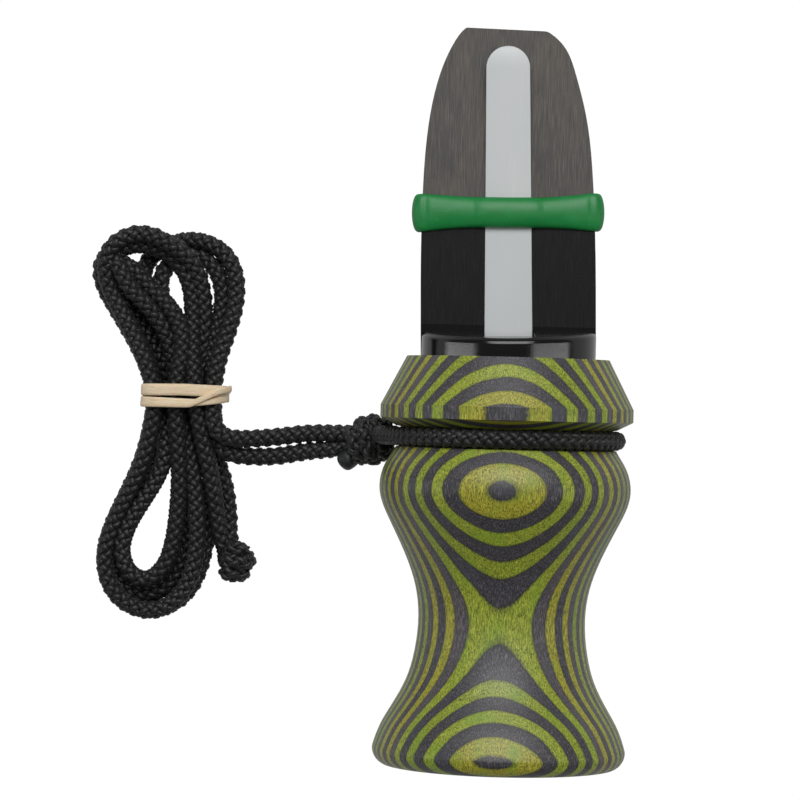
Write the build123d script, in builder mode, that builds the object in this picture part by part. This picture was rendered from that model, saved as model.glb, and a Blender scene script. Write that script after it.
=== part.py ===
"""Open-reed game call: a turned barrel of laminated wood, a black mouthpiece that plugs into it,
a reed held on the toneboard by a rubber band, and a braided lanyard tied round the barrel.

Millimetres, +Z up.  The call lies on its side on the plane Z = 0 with its axis along Y and the
mouthpiece towards +Y.  The origin is under the middle of the call, on the plane it lies on.
"""

import os
from math import acos, atan2, cos, degrees, hypot, pi, radians, sin, tan

from build123d import *

os.makedirs("parts", exist_ok=True)


# Driving dimensions --------------------------------------------------------------------------

# Barrel, turned from a laminated blank 38.1 mm (1 1/2 in) across
barrel_length = 61.3
barrel_radius = 19.05
bulge_radius = 18.9
waist_radius = 12.55
mouth_radius = 15.25
rim_radius = 17.6
land_drop = 7.4
land_length = 1.9
groove_drop = 12.1
groove_floor_radius = 15.05
shoulder_drop = 15.7
shoulder_radius = 17.85
bulge_drop = 20.1
waist_drop = 39.4
bell_rise = 2.3
# Share of the way along, and share of the radius lost, between the bulge and the waist
neck_curve = ((0.25, 0.27), (0.53, 0.68), (0.75, 0.91))
# Share of the way along, and share of the radius gained, between the waist and the bell
bell_curve = ((0.25, 0.07), (0.47, 0.25), (0.72, 0.65), (0.87, 0.88))
# How strongly the curve keeps its direction at the groove and at the bell
profile_ease = (1.0, 0.3)

# Bores of the barrel
plug_bore_radius = 9.525
plug_bore_depth = 19.0
sound_bore_radius = 7.94
flare_radius = 12.2
flare_depth = 13.0

# Mouthpiece: plug, collar and toneboard in one piece
plug_length = 17.0
plug_gap = 0.3
plug_chamfer = 0.6
plug_bore_inner_radius = 5.5
plug_roof = 3.0
collar_radius = 13.15
collar_height = 4.0
collar_slope = 5.5
collar_rounding = 0.9
board_radius = 13.3
board_half_width = 13.2
board_reach = 49.8
board_depth = 8.0
board_lean = 1.5
tip_depth = 4.6
tip_left = 6.2
tip_right = 6.0
tip_drop = 0.6
tip_corner = 1.8
# Distance from the tip, and half-width there, of the board's curved sides
side_curve = ((2.6, 8.3), (6.9, 10.2), (13.9, 11.87), (24.5, 12.85))
parallel_drop = 39.6
ramp_angle = 3.6
channel_width = 5.0
channel_depth = 4.2
channel_reach = 38.0
channel_overlap = 0.5

# O-rings that seal the plug in the barrel
o_ring_section = 1.78
o_ring_gap = 0.05
o_ring_slack = 0.1
o_ring_drops = (4.2, 11.6)

# Reed, one strip: the part under the band is clamped and the rest bends
reed_thickness = 0.35
reed_tip_width = 6.6
reed_foot_width = 7.2
reed_foot = 3.25
reed_tip = 47.0
reed_gap = 0.02
reed_seat_gap = 0.2

# Rubber band that holds the reed down
band_centre = 21.9
band_width = 4.2
band_thickness = 1.6
band_gap = 0.05
band_rounding = 0.7

# Lanyard of braided cord
cord_diameter = 3.0
groove_gap = 0.05
knot_standoff = 1.25
knot_offset = 0.85
knot_z = 10.0
knot_length = 7.4
knot_radius = 3.7
knot_rounding = 2.2
loop_end_gap = 3.0
tail_route = ((-21.9, -8.9, 9.6), (-24.4, -10.6, 8.6))
upper_leg_route = (
    (-23.2, -6.4, 8.6), (-26.6, -5.9, 7.4), (-30.6, -6.0, 6.6), (-35.6, -7.0, 6.6), (-42.4, -7.8, 7.2),
)
lower_leg_route = (
    (-23.0, -8.4, 8.2), (-26.4, -8.8, 6.9), (-30.6, -9.6, 5.6), (-35.8, -10.6, 5.2), (-42.4, -10.2, 5.6),
)
hank_outline = (
    (-57.7, 25.3), (-49.5, 24.5), (-43.0, 22.2), (-40.7, 16.3), (-43.0, 5.0), (-43.3, -3.0),
    (-41.8, -10.0), (-42.2, -19.5), (-43.7, -27.5), (-47.4, -33.2), (-54.1, -36.5), (-61.2, -32.5),
    (-62.6, -25.3), (-59.2, -14.5), (-55.4, -2.0), (-59.1, 7.2), (-63.7, 15.7), (-63.0, 21.9),
)
hank_height = 8.8
hank_rounding = 1.6
end_knot_point = (-40.9, -26.6, 3.1)
end_knot_radius = 3.0
end_knot_length = 7.2
end_knot_rounding = 1.8
tie_point = (-49.4, -1.2)
tie_length = 12.9
tie_width = 3.7
tie_thickness = 0.8
tie_corner = 3.2
tie_top = 9.4

# Places worked out from the driving dimensions
axis_height = max(barrel_radius, bulge_radius)
bell_y = -(barrel_length + board_reach) / 2
mouth_y = bell_y + barrel_length
groove_y = mouth_y - groove_drop
waist_y = mouth_y - waist_drop
bulge_y = mouth_y - bulge_drop
bell_top_y = bell_y + bell_rise
cord_radius = cord_diameter / 2
groove_radius = cord_radius + groove_gap
ring_radius = groove_floor_radius + groove_radius
plug_radius = plug_bore_radius - plug_gap
reed_foot_end = band_centre + band_width / 2
call_axis = Axis((0, 0, axis_height), (0, 1, 0))
call_plane = Plane.XY.offset(axis_height)

# The toneboard leans a little across the call's axis; board_plane lies on its face
lean = radians(board_lean)
across = Vector(cos(lean), sin(lean), 0)
along = Vector(-sin(lean), cos(lean), 0)
board_origin = Vector(0, mouth_y, axis_height)
board_plane = Plane(origin=board_origin, x_dir=across, z_dir=(0, 0, 1))
board_side = Plane(origin=board_origin, x_dir=along, z_dir=across)
tip_reach = (board_reach + tip_left * sin(lean)) / cos(lean)


def board_section(distance):
    """Plane square to the toneboard, at a distance from the barrel's mouth; its Y is up."""
    return Plane(origin=board_origin + along * distance, x_dir=across * -1, z_dir=along)


def save(piece, name):
    """Label a finished piece and write it as its own STEP file."""
    piece.part.label = name
    export_step(piece.part, f"parts/{name}.step")


# Barrel --------------------------------------------------------------------------------------

neck = [
    (bulge_radius - loss * (bulge_radius - waist_radius), bulge_y - way * (bulge_y - waist_y))
    for way, loss in neck_curve
]
bell = [
    (waist_radius + gain * (barrel_radius - waist_radius), waist_y - way * (waist_y - bell_top_y))
    for way, gain in bell_curve
]
with BuildPart() as barrel:
    with BuildSketch(call_plane):
        with BuildLine():
            land_end_y = mouth_y - land_drop - land_length
            Polyline(
                (sound_bore_radius, mouth_y - plug_bore_depth),
                (plug_bore_radius, mouth_y - plug_bore_depth),
                (plug_bore_radius, mouth_y),
                (mouth_radius, mouth_y),
                (barrel_radius, mouth_y - land_drop),
                (barrel_radius, land_end_y),
                (ring_radius, groove_y + groove_radius),
            )
            ThreePointArc(
                (ring_radius, groove_y + groove_radius),
                (groove_floor_radius, groove_y),
                (ring_radius, groove_y - groove_radius),
            )
            Spline(
                (ring_radius, groove_y - groove_radius),
                (shoulder_radius, mouth_y - shoulder_drop),
                (bulge_radius, bulge_y),
                *neck,
                (waist_radius, waist_y),
                *bell,
                (barrel_radius, bell_top_y),
                tangents=((1, -2), (0, -1)),
                tangent_scalars=profile_ease,
            )
            TangentArc((barrel_radius, bell_top_y), (rim_radius, bell_y), tangent=(0, -1))
            Line((rim_radius, bell_y), (flare_radius, bell_y))
            TangentArc(
                (sound_bore_radius, bell_y + flare_depth), (flare_radius, bell_y), tangent=(0, -1)
            )
            Line(
                (sound_bore_radius, bell_y + flare_depth),
                (sound_bore_radius, mouth_y - plug_bore_depth),
            )
        make_face()
    revolve(axis=call_axis)
save(barrel, "barrel")


# O-rings -------------------------------------------------------------------------------------

o_ring_radius = plug_bore_radius - o_ring_gap - o_ring_section / 2
o_ring_seat_radius = o_ring_radius - o_ring_section / 2 - o_ring_gap
for o_ring_name, drop in zip(("o_ring_front", "o_ring_rear"), o_ring_drops):
    with BuildPart() as o_ring:
        with BuildSketch(call_plane):
            with Locations((o_ring_radius, mouth_y - drop)):
                Circle(o_ring_section / 2)
        revolve(axis=call_axis)
    save(o_ring, o_ring_name)


# Mouthpiece ----------------------------------------------------------------------------------

plug_end_y = mouth_y - plug_length
half_seat = o_ring_section / 2 + o_ring_slack
plug_outline = [(0, mouth_y), (plug_radius, mouth_y)]
for drop in o_ring_drops:
    seat_top, seat_bottom = mouth_y - drop + half_seat, mouth_y - drop - half_seat
    plug_outline += [
        (plug_radius, seat_top), (o_ring_seat_radius, seat_top),
        (o_ring_seat_radius, seat_bottom), (plug_radius, seat_bottom),
    ]
plug_outline += [
    (plug_radius, plug_end_y + plug_chamfer), (plug_radius - plug_chamfer, plug_end_y),
    (plug_bore_inner_radius, plug_end_y), (plug_bore_inner_radius, mouth_y - plug_roof),
    (0, mouth_y - plug_roof),
]

with BuildPart() as collar:
    collar_stock = collar_height + collar_radius * tan(radians(collar_slope)) + 1
    with BuildSketch(Plane(origin=board_origin, x_dir=(-1, 0, 0), z_dir=(0, 1, 0))):
        Circle(collar_radius)
    extrude(amount=collar_stock)
    rise = 2 * collar_radius * tan(radians(collar_slope))
    with BuildSketch(board_side) as collar_top:
        with BuildLine():
            Polyline(
                (collar_height - rise, 2 * collar_radius),
                (collar_height + rise, -2 * collar_radius),
                (2 * collar_stock + rise, -2 * collar_radius),
                (2 * collar_stock + rise, 2 * collar_radius),
                close=True,
            )
        make_face()
    extrude(amount=2 * collar_radius, both=True, mode=Mode.SUBTRACT)
    fillet(collar.edges().group_by(Axis.Y)[-1], collar_rounding)

board_start = board_radius * sin(lean)
with BuildPart() as board:
    with BuildSketch(board_section(board_start)):
        Circle(board_radius)
        with Locations((0, -board_depth / 2)):
            Rectangle(3 * board_radius, board_depth, mode=Mode.INTERSECT)
    extrude(amount=tip_reach)
    with BuildSketch(board_plane) as board_outline:
        with BuildLine():
            left = [(-width, tip_reach - drop) for drop, width in side_curve]
            right = [(width, tip_reach - drop) for drop, width in side_curve]
            tip_left_corner = (-tip_left, tip_reach)
            tip_right_corner = (tip_right, tip_reach - tip_drop)
            parallel_y = tip_reach - parallel_drop
            left_side = Spline(
                (-board_half_width, parallel_y), *reversed(left), tip_left_corner,
                tangents=((0, 1), (2, 1.2)),
            )
            right_side = Spline(
                (board_half_width, parallel_y), *reversed(right), tip_right_corner,
                tangents=((0, 1), (-2, 1.2)),
            )
            Line(tip_left_corner, tip_right_corner)
            Polyline(
                (-board_half_width, parallel_y), (-board_half_width, 0),
                (board_half_width, 0), (board_half_width, parallel_y),
            )
        make_face()
        fillet(board_outline.vertices().group_by(Axis.Y)[-2], tip_corner)
    extrude(amount=2 * board_radius, both=True, mode=Mode.INTERSECT)
    with BuildSketch(board_side):
        with BuildLine():
            ramp_length = tip_reach + 1 - reed_foot_end
            Polyline(
                (0, 0), (reed_foot_end, 0), (tip_reach + 1, -ramp_length * tan(radians(ramp_angle))),
                (tip_reach + 1, -tip_depth), (reed_foot_end, -board_depth), (0, -board_depth),
                close=True,
            )
        make_face()
    extrude(amount=2 * board_radius, both=True, mode=Mode.INTERSECT)

with BuildPart() as mouthpiece:
    with BuildSketch(call_plane):
        with BuildLine():
            Polyline(*plug_outline, close=True)
        make_face()
    revolve(axis=call_axis)
    add(collar.part)
    add(board.part)
    # Reed seat: a shallow notch across the front of the collar's top
    with BuildSketch(board_section(reed_foot - reed_seat_gap)):
        with Locations((0, collar_radius)):
            Rectangle(reed_foot_width + 2 * reed_seat_gap, 2 * collar_radius)
    extrude(amount=collar_height, mode=Mode.SUBTRACT)
    # Air channel under the reed, through the collar into the plug's bore
    channel_length = channel_reach + plug_roof + channel_overlap
    with BuildSketch(board_plane):
        with Locations((0, channel_reach - channel_length / 2)):
            Rectangle(channel_width, channel_length)
        fillet(vertices().group_by(Axis.Y)[-1], 0.49 * channel_width)
    extrude(amount=-channel_depth, mode=Mode.SUBTRACT)
save(mouthpiece, "mouthpiece")


# Reed ----------------------------------------------------------------------------------------

reed_face = board_plane.offset(reed_gap)
reed_taper = (reed_foot_width - reed_tip_width) / (reed_tip - reed_foot)


def reed_half_width(distance):
    """Half of the reed's width at a distance from the barrel's mouth."""
    return (reed_foot_width - reed_taper * (distance - reed_foot)) / 2


with BuildPart() as reed_foot_piece:
    with BuildSketch(reed_face):
        with BuildLine():
            Polyline(
                (-reed_half_width(reed_foot), reed_foot),
                (reed_half_width(reed_foot), reed_foot),
                (reed_half_width(reed_foot_end), reed_foot_end - reed_gap),
                (-reed_half_width(reed_foot_end), reed_foot_end - reed_gap),
                close=True,
            )
        make_face()
    extrude(amount=reed_thickness)
save(reed_foot_piece, "reed_foot")

with BuildPart() as reed_tongue:
    with BuildSketch(reed_face):
        end_radius = reed_tip_width / 2
        with BuildLine():
            Polyline(
                (-end_radius, reed_tip - end_radius),
                (-reed_half_width(reed_foot_end), reed_foot_end),
                (reed_half_width(reed_foot_end), reed_foot_end),
                (end_radius, reed_tip - end_radius),
            )
            ThreePointArc(
                (-end_radius, reed_tip - end_radius), (0, reed_tip), (end_radius, reed_tip - end_radius)
            )
        make_face()
    extrude(amount=reed_thickness)
save(reed_tongue, "reed_tongue")


# Rubber band ---------------------------------------------------------------------------------

band_inner_top = reed_gap + reed_thickness + band_gap
band_inner_height = band_inner_top + board_depth + band_gap
band_inner_middle = band_inner_top - band_inner_height / 2
band_inner_half = board_half_width + band_gap
with BuildSketch(board_section(band_centre)) as band_inside:
    Circle(board_radius + band_gap)
    with Locations((0, band_inner_middle)):
        Rectangle(2 * band_inner_half, band_inner_height, mode=Mode.INTERSECT)
with BuildPart() as reed_band:
    with BuildSketch(board_section(band_centre)):
        add(band_inside.sketch_local)
        offset(amount=band_thickness, kind=Kind.ARC)
    extrude(amount=band_width / 2, both=True)
    band_ends = reed_band.edges().group_by(Axis(board_origin, along))
    fillet(band_ends[-1] + band_ends[0], band_rounding)
    with BuildSketch(board_section(band_centre)):
        add(band_inside.sketch_local)
    extrude(amount=band_width, both=True, mode=Mode.SUBTRACT)
save(reed_band, "reed_band")


# Lanyard -------------------------------------------------------------------------------------

def cord_path(name, route):
    """Straight runs joined by tangent arcs, as large as the two runs beside each of them allow."""
    points = [Vector(*point) for point in route]
    radii = []
    for before, here, after in zip(points, points[1:], points[2:]):
        turn = radians((here - before).get_angle(after - here))
        shorter = min((here - before).length, (after - here).length)
        radii.append(0.45 * shorter / tan(turn / 2))
    print(name, "radii in mm:", [round(radius, 1) for radius in radii])
    if radii:
        return FilletPolyline(*points, radius=radii)
    return Polyline(*points)


def save_cord(name, route):
    """Sweep the cord's round section along a route, write it and compare its volume."""
    with BuildPart() as cord:
        with BuildLine():
            path = cord_path(name, route)
        with BuildSketch(Plane(origin=path @ 0, z_dir=path % 0)):
            Circle(cord_radius)
        sweep(path=path)
    share = cord.part.volume / (pi * cord_radius**2 * path.length)
    print(name, "length", round(path.length, 1), "volume over section times length", round(share, 3))
    save(cord, name)


# Loop: pulled tight in the groove, its two ends running straight into the knot
knot_x = -(barrel_radius + knot_standoff)
knot_y = groove_y - knot_offset
knot_distance = hypot(knot_x, knot_z - axis_height)
knot_angle = degrees(atan2(knot_z - axis_height, knot_x))
tangent_angle = degrees(acos(ring_radius / knot_distance))
loop_plane = Plane(origin=(0, groove_y, axis_height), x_dir=(1, 0, 0), z_dir=(0, -1, 0))
end_share = loop_end_gap / (knot_distance * sin(radians(tangent_angle)))
with BuildPart() as lanyard_loop:
    with BuildLine(loop_plane) as loop_path:
        CenterArc((0, 0), ring_radius, knot_angle + tangent_angle, 360 - 2 * tangent_angle)
        for angle in (radians(knot_angle + tangent_angle), radians(knot_angle - tangent_angle)):
            start = (ring_radius * cos(angle), ring_radius * sin(angle))
            end = (
                knot_x + (start[0] - knot_x) * end_share,
                knot_z - axis_height + (start[1] - knot_z + axis_height) * end_share,
            )
            Line(start, end)
    loop_wire = loop_path.wire()
    with BuildSketch(Plane(origin=loop_wire @ 0, z_dir=loop_wire % 0)):
        Circle(cord_radius)
    sweep(path=loop_wire)
save(lanyard_loop, "lanyard_loop")

with BuildPart() as lanyard_knot:
    with BuildSketch(Plane(origin=(knot_x, knot_y, knot_z), x_dir=(-1, 0, 0), z_dir=(0, 1, 0))):
        Circle(knot_radius)
    extrude(amount=knot_length / 2, both=True)
    fillet(lanyard_knot.edges().filter_by(GeomType.CIRCLE), knot_rounding)
save(lanyard_knot, "lanyard_knot")

save_cord("lanyard_tail", tail_route)
save_cord("lanyard_leg_upper", upper_leg_route)
save_cord("lanyard_leg_lower", lower_leg_route)

# Rubber band tied round the hank's neck, and the hank inside it
tie_middle = (tie_point[0], tie_top / 2)
with BuildPart() as hank_tie:
    with BuildSketch(Plane.XZ.offset(-tie_point[1])) as tie_section:
        with Locations(tie_middle):
            RectangleRounded(tie_length, tie_top, tie_corner)
            RectangleRounded(
                tie_length - 2 * tie_thickness,
                tie_top - 2 * tie_thickness,
                tie_corner - tie_thickness,
                mode=Mode.SUBTRACT,
            )
    extrude(amount=tie_width / 2, both=True)
save(hank_tie, "hank_tie")

with BuildPart() as lanyard_hank:
    with BuildSketch(Plane.XY):
        with BuildLine():
            Spline(*hank_outline, periodic=True)
        make_face()
    extrude(amount=hank_height)
    fillet(lanyard_hank.edges().group_by(Axis.Z)[-1], hank_rounding)
    fillet(lanyard_hank.edges().group_by(Axis.Z)[0], hank_rounding)
    # Waist pressed in by the tie
    with BuildSketch(Plane.XZ.offset(-tie_point[1])):
        with Locations(tie_middle):
            Rectangle(2 * tie_length, 2 * tie_top)
            RectangleRounded(
                tie_length - 2 * tie_thickness,
                tie_top - 2 * tie_thickness,
                tie_corner - tie_thickness,
                mode=Mode.SUBTRACT,
            )
    extrude(amount=tie_width / 2, both=True, mode=Mode.SUBTRACT)
save(lanyard_hank, "lanyard_hank")

with BuildPart() as lanyard_end_knot:
    with BuildSketch(Plane(origin=end_knot_point, x_dir=(-1, 0, 0), z_dir=(0, 1, 0))):
        Circle(end_knot_radius)
    extrude(amount=end_knot_length / 2, both=True)
    fillet(lanyard_end_knot.edges().filter_by(GeomType.CIRCLE), end_knot_rounding)
save(lanyard_end_knot, "lanyard_end_knot")
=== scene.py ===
"""Looks of an open-reed game call and its lanyard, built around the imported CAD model.

Metres, +Z up, in the CAD model's frame: the call lies on its side with its axis along Y and the
mouthpiece towards +Y.  Each sub-assembly is a class that makes its meshes and dresses them, and
each finish is a small frozen dataclass that builds one material.
"""

import logging
import math
from dataclasses import dataclass
from enum import Enum

import bpy
import numpy as np
from mathutils import Matrix, Vector


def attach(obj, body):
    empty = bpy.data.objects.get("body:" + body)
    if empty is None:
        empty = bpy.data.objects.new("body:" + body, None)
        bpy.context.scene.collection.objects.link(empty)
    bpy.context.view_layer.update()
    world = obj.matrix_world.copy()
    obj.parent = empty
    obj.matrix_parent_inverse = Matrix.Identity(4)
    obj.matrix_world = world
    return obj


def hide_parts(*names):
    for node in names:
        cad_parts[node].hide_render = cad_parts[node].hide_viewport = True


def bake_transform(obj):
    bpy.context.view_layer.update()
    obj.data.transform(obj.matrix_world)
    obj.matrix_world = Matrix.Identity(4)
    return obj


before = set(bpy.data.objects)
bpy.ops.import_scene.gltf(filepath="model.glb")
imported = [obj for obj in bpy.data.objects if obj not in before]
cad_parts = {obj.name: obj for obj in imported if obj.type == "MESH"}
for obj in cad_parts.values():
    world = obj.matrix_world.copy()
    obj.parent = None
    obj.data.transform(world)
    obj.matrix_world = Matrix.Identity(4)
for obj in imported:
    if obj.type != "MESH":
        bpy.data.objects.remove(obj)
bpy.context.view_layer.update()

LOG = logging.getLogger("game_call")
MM = 0.001

Tree = bpy.types.NodeTree
Socket = bpy.types.NodeSocket
Material = bpy.types.Material
Piece = bpy.types.Object
Colour = tuple[float, float, float, float]


class Body(Enum):
    """The CAD bodies that the drawn pieces ride on."""

    BARREL = "barrel"
    REED_FOOT = "reed_foot"
    REED_TONGUE = "reed_tongue"
    REED_BAND = "reed_band"


class Slot(Enum):
    """Material slot names meant for the drawn pieces."""

    REED = "reed_plastic"
    BAND = "green_rubber"
    CORD = "braided_cord"
    TIE = "tan_latex"


# Shared tools --------------------------------------------------------------------------------


def linear(hex_colour: str) -> Colour:
    """Turn an sRGB hex colour into linear RGBA.

    Args:
        hex_colour: six hex digits with a leading #.

    Returns:
        Linear red, green and blue, and an alpha of 1.
    """
    def channel(start: int) -> float:
        """Linear value of the two hex digits at a place."""
        share = int(hex_colour[start:start + 2], 16) / 255
        return share / 12.92 if share <= 0.04045 else ((share + 0.055) / 1.055) ** 2.4

    return channel(1), channel(3), channel(5), 1.0


def add_node(
    tree: Tree, kind: str, inputs: dict | None = None, stops: tuple = (), **settings: object
) -> bpy.types.Node:
    """Add one node with its settings, constants and links.

    Args:
        tree: the node tree that gets it.
        kind: the node's type name, without the ShaderNode in front.
        inputs: a constant, or a socket to link, for each input by its name or place.
        stops: for a colour ramp, its (place, colour) pairs.
        settings: the node's own properties.

    Returns:
        The new node.
    """
    made = tree.nodes.new(f"ShaderNode{kind}")
    for name, value in settings.items():
        setattr(made, name, value)
    for key, value in (inputs or {}).items():
        if isinstance(value, Socket):
            tree.links.new(value, made.inputs[key])
        else:
            made.inputs[key].default_value = value
    if stops:
        elements = made.color_ramp.elements
        while len(elements) < len(stops):
            elements.new(1.0)
        for element, (place, colour) in zip(elements, stops):
            element.position = place
            element.color = colour
    return made


def new_material(name: str) -> tuple[Material, Tree]:
    """Start an empty node material.

    Args:
        name: what the finish is.

    Returns:
        The material and its node tree.
    """
    material = bpy.data.materials.new(name)
    material.use_nodes = True
    material.node_tree.nodes.clear()
    return material, material.node_tree


def close_material(tree: Tree, surface: dict) -> None:
    """Add the Principled shader and the output to a material.

    Args:
        tree: the material's node tree.
        surface: the shader's constants and links by input name.
    """
    shader = add_node(tree, "BsdfPrincipled", surface)
    add_node(tree, "OutputMaterial", {"Surface": shader.outputs["BSDF"]})


def math_node(tree: Tree, operation: str, *values: float | Socket) -> Socket:
    """Work out one number in a material.

    Args:
        tree: the material's node tree.
        operation: the maths operation's name.
        values: constants or sockets.

    Returns:
        The result's socket.
    """
    inputs = dict(enumerate(values))
    return add_node(tree, "Math", inputs, operation=operation).outputs[0]


def blend_colours(
    tree: Tree, share: Socket, first: Colour | Socket, second: Colour | Socket
) -> Socket:
    """Mix two colours in a material.

    Args:
        tree: the material's node tree.
        share: how much of the second colour shows.
        first: a linear colour or a socket.
        second: a linear colour or a socket.

    Returns:
        The mixed colour's socket.
    """
    inputs = {"Factor": share, 6: first, 7: second}
    return add_node(tree, "Mix", inputs, data_type="RGBA").outputs[2]


def ramp(tree: Tree, value: Socket, *stops: tuple, ease: str = "LINEAR") -> Socket:
    """Turn a number into a colour or a grey.

    Args:
        tree: the material's node tree.
        value: the number's socket.
        stops: (place, grey or linear colour) pairs.
        ease: how it goes from stop to stop.

    Returns:
        The colour's socket.
    """
    pairs = tuple((p, c if isinstance(c, tuple) else (c, c, c, 1.0)) for p, c in stops)
    made = add_node(tree, "ValToRGB", {"Fac": value}, pairs)
    made.color_ramp.interpolation = ease
    return made.outputs["Color"]


def grain(
    tree: Tree, where: Socket, size: tuple, detail: float = 2.0, roughness: float = 0.5
) -> Socket:
    """Noise whose spots have a given size.

    Args:
        tree: the material's node tree.
        where: coordinates in metres.
        size: the spots' length along X, Y and Z, in millimetres.
        detail: octaves of finer noise.
        roughness: how strong the finer noise is.

    Returns:
        The noise's value socket.
    """
    scale = tuple(1 / (length * MM) for length in size)
    placed = add_node(tree, "Mapping", {"Vector": where, "Scale": scale}, vector_type="POINT")
    inputs = {"Vector": placed.outputs[0], "Scale": 1.0, "Detail": detail, "Roughness": roughness}
    return add_node(tree, "TexNoise", inputs).outputs["Fac"]


def bump(
    tree: Tree, height: Socket, depth: float, strength: float, under: Socket | None = None
) -> Socket:
    """Raise the surface by a height.

    Args:
        tree: the material's node tree.
        height: the height's socket, from 0 to 1.
        depth: what a height of 1 stands for, in millimetres.
        strength: the share of it that shows.
        under: the normal it is added to.

    Returns:
        The normal's socket.
    """
    inputs = {"Height": height, "Distance": depth * MM, "Strength": strength}
    if under is not None:
        inputs["Normal"] = under
    return add_node(tree, "Bump", inputs).outputs["Normal"]


def object_place(tree: Tree) -> Socket:
    """The point's own coordinates in the piece, in metres."""
    return add_node(tree, "TexCoord").outputs["Object"]


def new_mesh_piece(
    name: str, points: np.ndarray, faces: np.ndarray, material: Material,
    corner_uv: np.ndarray | None = None,
) -> Piece:
    """Make a smooth-shaded mesh object.

    Args:
        name: the piece's name.
        points: vertices, in metres.
        faces: four vertex numbers a face; three where the last one is -1.
        material: its finish.
        corner_uv: a map coordinate for each corner of each face.

    Returns:
        The object.
    """
    mesh = bpy.data.meshes.new(name)
    loops = [[v for v in face if v >= 0] for face in faces.tolist()]
    mesh.from_pydata(points.tolist(), [], loops)
    mesh.shade_smooth()
    if corner_uv is not None:
        layer = mesh.uv_layers.new(name="along")
        layer.data.foreach_set("uv", corner_uv.astype(np.float32).ravel())
    mesh.materials.append(material)
    mesh.validate()
    piece = bpy.data.objects.new(name, mesh)
    bpy.context.scene.collection.objects.link(piece)
    return piece


def ring_faces(rings: int, sides: int, closed: bool = False) -> np.ndarray:
    """Faces of a tube made of rings of vertices.

    Args:
        rings: how many rings.
        sides: vertices in a ring.
        closed: whether the last ring joins the first.

    Returns:
        Four vertex numbers a face.
    """
    spans = rings if closed else rings - 1
    ring = np.repeat(np.arange(spans), sides)
    side = np.tile(np.arange(sides), spans)
    after, beside = (ring + 1) % rings, (side + 1) % sides
    return np.stack(
        [ring * sides + side, ring * sides + beside, after * sides + beside, after * sides + side], 1
    )


def running_length(path: np.ndarray) -> np.ndarray:
    """Distance along a path from its first point to each of its points."""
    return np.concatenate([[0.0], np.cumsum(np.linalg.norm(np.diff(path, axis=0), axis=1))])


def evenly(path: np.ndarray, count: int, closed: bool = True) -> tuple[np.ndarray, np.ndarray]:
    """Points evenly along a path.

    Args:
        path: its corners; the first is repeated at the end of a closed one.
        count: how many points.
        closed: whether the end is left out.

    Returns:
        The points, and the share of the way that each has gone.
    """
    way = running_length(path)
    stations = np.linspace(0, way[-1], count, endpoint=not closed)
    points = [np.interp(stations, way, column) for column in path.T]
    return np.stack(points, 1), stations / way[-1]


def closed_tangents(points: np.ndarray) -> np.ndarray:
    """Unit directions along a closed line at each of its points."""
    tangent = np.roll(points, -1, 0) - np.roll(points, 1, 0)
    return tangent / np.linalg.norm(tangent, axis=1)[:, None]


def spline_points(name: str, route: list, spacing: float) -> np.ndarray:
    """Points evenly along the NURBS curve of a route.

    Args:
        name: the cord's name.
        route: the curve's control points, in metres.
        spacing: distance from point to point, in metres.

    Returns:
        The points, in metres.
    """
    data = bpy.data.curves.new(f"{name}_line", "CURVE")
    data.dimensions = "3D"
    data.resolution_u = 16
    spline = data.splines.new("NURBS")
    spline.points.add(len(route) - 1)
    for point, place in zip(spline.points, route):
        point.co = (*place, 1.0)
    spline.order_u = 3
    spline.use_endpoint_u = True
    line = bpy.data.objects.new(f"{name}_line", data)
    bpy.context.scene.collection.objects.link(line)
    bpy.context.view_layer.update()
    seen = line.evaluated_get(bpy.context.evaluated_depsgraph_get())
    mesh = bpy.data.meshes.new_from_object(seen)
    raw = np.array([vertex.co for vertex in mesh.vertices])
    bpy.data.objects.remove(line)
    bpy.data.meshes.remove(mesh)
    return evenly(raw, round(running_length(raw)[-1] / spacing) + 1, closed=False)[0]


def untwisted_frames(path: np.ndarray) -> tuple[np.ndarray, np.ndarray, np.ndarray]:
    """Tangents of a path, and two sideways directions that turn with it but don't spin.

    Args:
        path: points in metres.

    Returns:
        Unit tangents, first sideways directions and second sideways directions.
    """
    tangents = np.gradient(path, axis=0)
    tangents /= np.linalg.norm(tangents, axis=1)[:, None]
    start = Vector(tangents[0])
    side = start.orthogonal().normalized()
    sides = [side]
    for before, after in zip(tangents, tangents[1:]):
        side = Vector(before).rotation_difference(Vector(after)) @ side
        side = (side - side.dot(Vector(after)) * Vector(after)).normalized()
        sides.append(side)
    first = np.array(sides)
    return tangents, first, np.cross(tangents, first)


# Finishes ------------------------------------------------------------------------------------


@dataclass(frozen=True)
class Fleck:
    """A second colour that shows where a pattern's value is beyond a level."""

    colour: str
    clear: float
    full: float
    strength: float

    def over(self, tree: Tree, base: str | Socket, pattern: Socket) -> Socket:
        """Lay it over a colour.

        Args:
            tree: the material's node tree.
            base: the colour under it, as hex or a socket.
            pattern: the pattern's value.

        Returns:
            The mixed colour's socket.
        """
        stops = sorted(((self.clear, 0.0), (self.full, self.strength)))
        under = linear(base) if isinstance(base, str) else base
        return blend_colours(tree, ramp(tree, pattern, *stops), under, linear(self.colour))


@dataclass(frozen=True)
class Pattern:
    """Noise whose spots have a real size, in millimetres."""

    size: tuple
    detail: float = 2.0
    roughness: float = 0.5


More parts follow.
